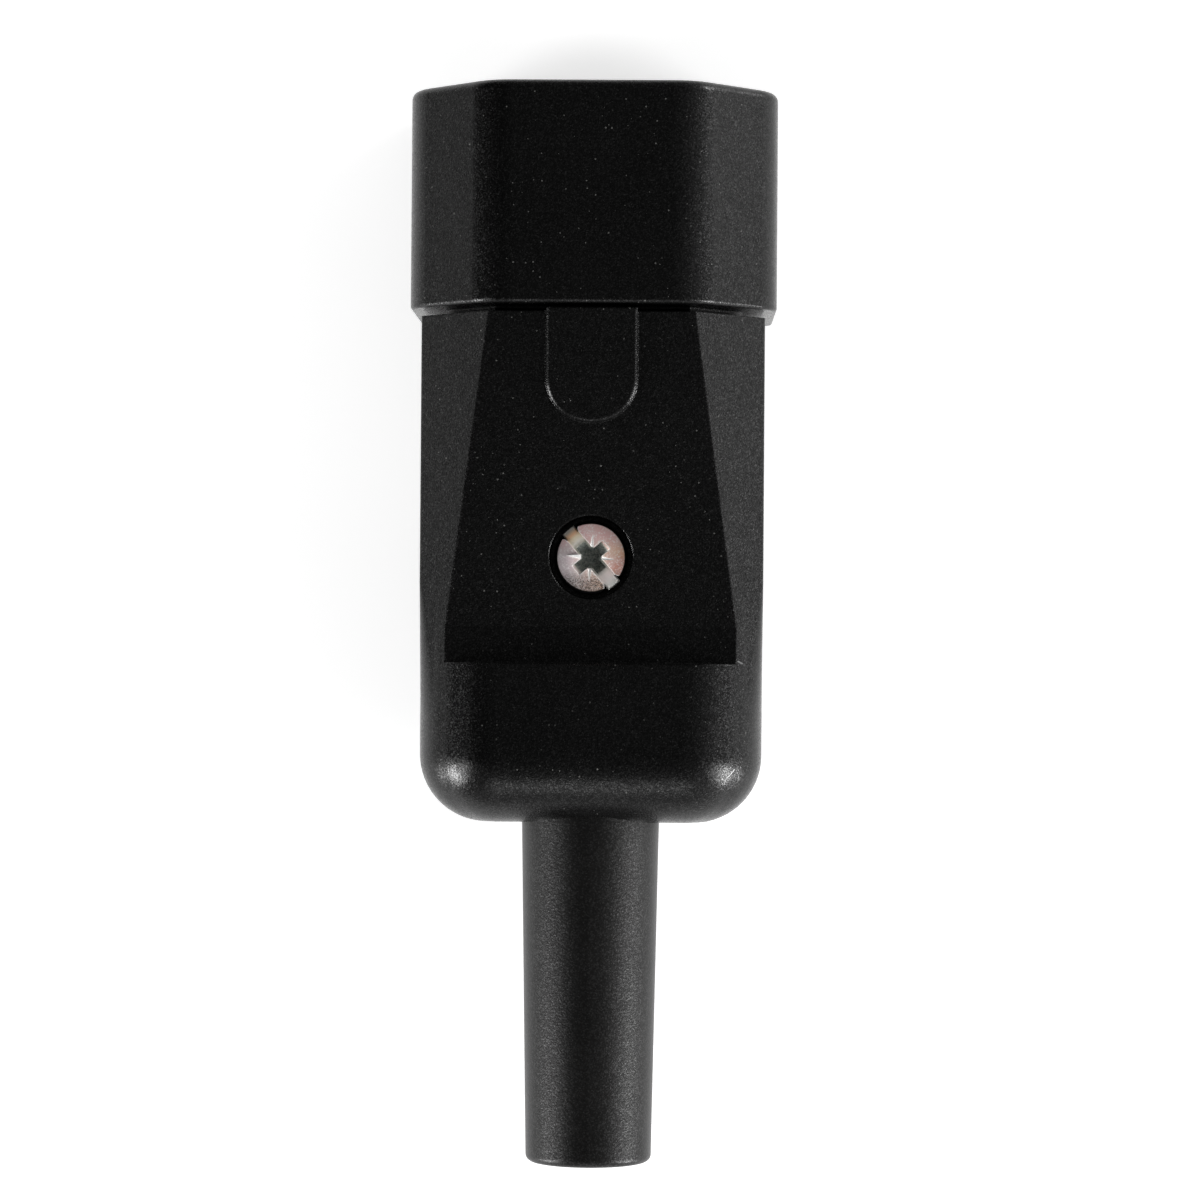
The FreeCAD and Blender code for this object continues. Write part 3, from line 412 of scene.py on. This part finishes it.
def lathe(name, profile, steps=96):
    """Solid of revolution: profile is (radius, height), and starts and ends on the axis."""
    turns = [2 * math.pi * step / steps for step in range(steps)]
    rings = profile[1:-1]
    points = [(radius * math.cos(turn), radius * math.sin(turn), height)
              for radius, height in rings for turn in turns]
    foot, top = len(points), len(points) + 1
    points += [(0, 0, profile[0][1]), (0, 0, profile[-1][1])]
    faces = []
    last = (len(rings) - 1) * steps
    for this in range(steps):
        after = (this + 1) % steps
        faces.append((foot, after, this))
        faces.append((last + this, last + after, top))
        faces += [(row + this, row + after, row + steps + after, row + steps + this)
                  for row in range(0, last, steps)]
    return solid(name, points, faces)


def tapered_block(name, low, high, turn):
    """Block between two levels, each (half length, half width, height), its length turned from +X."""
    turned = Matrix.Rotation(turn, 3, "Z")
    points = []
    for length, width, height in (low, high):
        corners = [(length, width), (-length, width), (-length, -width), (length, -width)]
        points += [turned @ Vector((x, y, height)) for x, y in corners]
    faces = [(3, 2, 1, 0), (4, 5, 6, 7)]
    faces += [(side, (side + 1) % 4, (side + 1) % 4 + 4, side + 4) for side in range(4)]
    return solid(name, points, faces)


def tick(name, inner, outer, width, depth, turn):
    """Fine wedge that runs out along the crown."""
    turned = Matrix.Rotation(turn, 3, "Z")
    above = 0.4
    corners = [(inner, width / 2), (outer, 0), (inner, -width / 2)]
    points = [turned @ Vector((x, y, above)) for x, y in corners]
    points += [turned @ Vector((x, y, crown_height(x))) for x, y in corners]
    points.append(turned @ Vector((inner, 0, crown_height(inner) - depth)))
    faces = [(2, 1, 0), (0, 1, 4, 3), (1, 2, 5, 4), (2, 0, 3, 5), (3, 4, 6), (4, 5, 6), (5, 3, 6)]
    return solid(name, points, faces)


def corner_cutter(name, along, across, turn):
    """Prism that rounds the crown's corner beside one end of the slot: along and across are 1 or -1."""
    crown, slot, inside, outside = 2.85, 0.62, 0.5, 3.4
    radius, steps = 0.35, 8
    low, high = -0.8, 0.3
    middle_y = slot + radius
    middle_x = math.sqrt((crown - radius) ** 2 - middle_y ** 2)
    first, last = -math.pi / 2, math.atan2(middle_y, middle_x)
    angles = [first + (last - first) * step / steps for step in range(steps + 1)]
    outline = [(middle_x, inside)]
    outline += [(middle_x + radius * math.cos(angle), middle_y + radius * math.sin(angle))
                for angle in angles]
    outline += [(outside * math.cos(last), outside * math.sin(last)), (outside, inside)]
    # Counter-clockwise from above at every corner.
    if along * across > 0:
        outline.reverse()
    turned = Matrix.Rotation(turn, 3, "Z")
    points = [turned @ Vector((x * along, y * across, height)) for height in (low, high) for x, y in outline]
    count = len(outline)
    faces = [tuple(range(count - 1, -1, -1)), tuple(range(count, 2 * count))]
    for this in range(count):
        after = (this + 1) % count
        faces.append((this, after, after + count, this + count))
    return solid(name, points, faces)


def crown_height(radius):
    """Height of the crown at this radius, counted from its middle: a shallow dome."""
    dome_radius = 11.7
    return -(radius ** 2) / (2 * dome_radius)


def make_cover_screw():
    head, shank, head_height, length, point = 3.0, 1.45, 2.4, 12.0, 0.3
    edge_start, edge_run, edge_drop, seat_bevel = 2.7, 0.3, 0.65, 0.1
    slot_low, slot_high = (4.0, 0.57, -0.5), (4.0, 0.66, 0.3)
    arms_low, arms_high = (0.75, 0.36, -1.7), (1.78, 0.5, 0.15)
    core = [(0, -1.8), (0.55, -1.8), (1.0, 0.15), (0, 0.15)]
    tick_start, tick_end, tick_width, tick_depth = 0.8, 1.95, 0.34, 0.16
    seat = -head_height
    foot = seat - length
    profile = [(0, foot), (shank - point, foot), (shank, foot + point), (shank, seat),
               (head - seat_bevel, seat), (head, seat + seat_bevel)]
    edge_steps = 8
    for step in range(edge_steps + 1):
        turn = math.pi / 2 * step / edge_steps
        profile.append((edge_start + edge_run * math.cos(turn),
                        crown_height(edge_start) - edge_drop * (1 - math.sin(turn))))
    dome_steps = 8
    profile += [(edge_start * step / dome_steps, crown_height(edge_start * step / dome_steps))
                for step in range(dome_steps - 1, -1, -1)]
    screw = lathe("cover_screw_detail", profile)
    cutters = [
        tapered_block("slot", slot_low, slot_high, SLOT_TURN),
        tapered_block("arms_along", arms_low, arms_high, SLOT_TURN),
        tapered_block("arms_across", arms_low, arms_high, SLOT_TURN + math.pi / 2),
        lathe("core", core, steps=24),
    ]
    for number, (along, across) in enumerate([(1, 1), (1, -1), (-1, 1), (-1, -1)]):
        cutters.append(corner_cutter(f"corner_{number}", along, across, SLOT_TURN))
    for quarter in range(4):
        turn = SLOT_TURN + math.pi / 4 + quarter * math.pi / 2
        cutters.append(tick(f"tick_{quarter}", tick_start, tick_end, tick_width, tick_depth, turn))
    for cutter in cutters:
        cut = screw.modifiers.new(cutter.name, "BOOLEAN")
        cut.operation = "DIFFERENCE"
        cut.object = cutter
    bevel = screw.modifiers.new("edges", "BEVEL")
    bevel.width = 0.05
    bevel.segments = 2
    bevel.limit_method = "ANGLE"
    bpy.context.view_layer.update()
    carved = bpy.data.meshes.new_from_object(screw.evaluated_get(bpy.context.evaluated_depsgraph_get()))
    screw.modifiers.clear()
    screw.data = carved
    for cutter in cutters:
        bpy.data.objects.remove(cutter)
    carved.transform(Matrix.Scale(MM, 4))
    carved.shade_smooth()
    carved.set_sharp_from_angle(angle=math.radians(35))
    carved.materials.clear()
    carved.materials.append(screw_finish())
    low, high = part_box("cover_screw")
    screw.location = ((low.x + high.x) / 2, (low.y + high.y) / 2, high.z)
    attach(screw, "root")
    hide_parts("cover_screw")


make_cover_screw()


# Stage

def make_floor():
    """White sheet, with less shine past its left end, as painted shade, and none under the gap behind the
    plug's hood.

    Its shine keeps it white, and the plug's shadow stays.
    """
    half = 1.5
    mesh = bpy.data.meshes.new("floor")
    corners = [(-half, -half, 0), (half, -half, 0), (half, half, 0), (-half, half, 0)]
    mesh.from_pydata(corners, [], [(0, 1, 2, 3)])
    floor = bpy.data.objects.new("floor", mesh)
    scene.collection.objects.link(floor)
    finish = Finish("floor")
    finish.set(Base_Color=(0.86, 0.86, 0.86, 1.0), Roughness=0.9)
    path = finish.add("ShaderNodeLightPath").outputs
    mirrored = finish.math("MAXIMUM", path["Is Glossy Ray"], path["Is Transmission Ray"])
    seen = finish.math("MAXIMUM", path["Is Camera Ray"], mirrored)
    glow = finish.add("ShaderNodeEmission")
    across, along, _ = finish.axes()
    # Painted shade: less glow past the left end. No glow on the strip under the gap behind the hood, which
    # lies in shade.
    shine = finish.spread(across, 0.08, 0.62, -85 * MM, -60 * MM)
    from_gap = finish.absolute(finish.math("SUBTRACT", along, gap_place - 0.5 * MM))
    clear = finish.math("MAXIMUM", finish.spread(finish.absolute(across), 0.0, 1.0, 12.5 * MM, 14.2 * MM),
                        finish.spread(from_gap, 0.0, 1.0, 0.6 * MM, 3 * MM))
    finish.link(finish.math("MULTIPLY", shine, clear), glow.inputs["Strength"])
    both = finish.add("ShaderNodeAddShader")
    pick = finish.add("ShaderNodeMixShader")
    table = finish.shader.outputs["BSDF"]
    finish.link(table, both.inputs[0])
    finish.link(glow.outputs["Emission"], both.inputs[1])
    finish.link(seen, pick.inputs["Fac"])
    finish.link(table, pick.inputs[1])
    finish.link(both.outputs["Shader"], pick.inputs[2])
    finish.link(pick.outputs["Shader"], finish.tree.nodes["Material Output"].inputs["Surface"])
    mesh.materials.append(finish.material)


def make_room():
    """Surroundings: pale walls on the right and behind the plug, dim on the left and dark overhead."""
    world = bpy.data.worlds.new("room")
    scene.world = world
    world.use_nodes = True
    room = Shading(world.node_tree)
    direction = room.add("ShaderNodeSeparateXYZ")
    room.link(room.add("ShaderNodeTexCoord").outputs["Generated"], direction.inputs["Vector"])
    levels = [(0.0, 1.0), (0.55, 0.9), (0.78, 0.6), (0.95, 0.42)]
    walls = room.ramp(direction.outputs["Z"], *[(rise, (level, level, level)) for rise, level in levels])
    sides = room.spread(direction.outputs["X"], 0.06, 0.62, -0.4, 0.6)
    behind = room.spread(direction.outputs["Y"], 0.45, 0.0, -0.95, -0.25)
    background = room.tree.nodes["Background"]
    room.link(walls, background.inputs["Color"])
    room.link(room.math("ADD", sides, behind), background.inputs["Strength"])


# Name, azimuth, elevation and level.
LAMPS = [
    ("left_lamp", 207, 6, 38.0),
    ("left_fill", 205, 28, 7.0),
    ("right_lamp", 335, 6, 34.0),
    ("right_fill", 335, 28, 6.0),
    ("front_lamp", 26, 8, 13.0),
    ("rear_fill", 270, 34, 2.5),
]


def make_lamp(name, azimuth, elevation, level):
    """Round soft light far away, as bright as its level. Angles are in degrees, azimuth from +X to +Y."""
    across = math.radians(20)
    lamp = bpy.data.lights.new(name, "SUN")
    lamp.angle = across
    lamp.energy = level * math.pi * math.sin(across / 2) ** 2
    light = bpy.data.objects.new(name, lamp)
    scene.collection.objects.link(light)
    turn, rise = math.radians(azimuth), math.radians(elevation)
    away = Vector((math.cos(turn) * math.cos(rise), math.sin(turn) * math.cos(rise), math.sin(rise)))
    light.rotation_euler = away.to_track_quat("Z", "Y").to_euler()


def make_camera():
    data = bpy.data.cameras.new("camera")
    data.sensor_width = 36.0
    data.lens = 115.35
    camera = bpy.data.objects.new("camera", data)
    scene.collection.objects.link(camera)
    camera.location = Vector((5.41, -1.58, 330.25)) * MM
    camera.rotation_euler = Euler([math.radians(angle) for angle in (0.718, 0.847, 0.418)])
    scene.camera = camera


make_floor()
make_room()
for lamp in LAMPS:
    make_lamp(*lamp)
make_camera()
